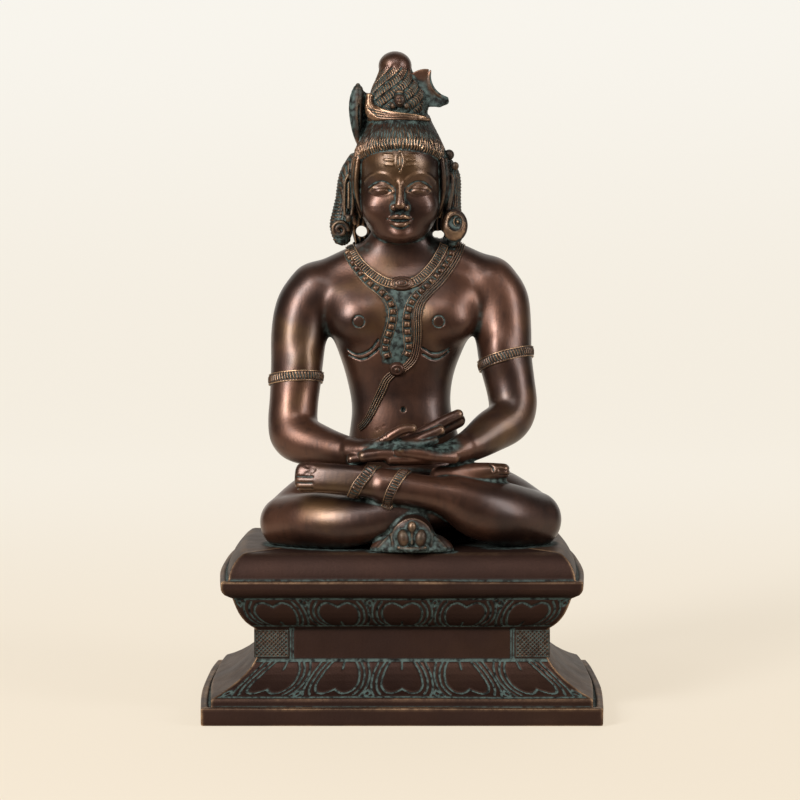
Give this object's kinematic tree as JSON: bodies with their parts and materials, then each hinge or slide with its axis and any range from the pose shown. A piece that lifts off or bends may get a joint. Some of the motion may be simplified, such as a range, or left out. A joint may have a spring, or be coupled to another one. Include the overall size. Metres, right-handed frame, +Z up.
{
  "type": "shiva figure",
  "caption": "Cast brass figure of Shiva seated in meditation, legs folded and hands in the lap, on a tiered rectangular lotus pedestal with a bare neck panel.",
  "frame": {"origin": "middle of the pedestal's flat underside", "axes": "+Z up, -Y towards the front of the figure, +X to the viewer's right"},
  "size_m": [0.2086, 0.141, 0.3405],
  "materials": {
    "figure_brass": "satin dark brown patina, worn to copper and gold on the high places, verdigris in the hollows",
    "pedestal_brass": "satin dark brown patina, worn to gold along the edges, verdigris in the grooves"
  },
  "bodies": {
    "root": {"figure": "figure_brass", "pedestal": "pedestal_brass"}
  },
  "joints": []
}
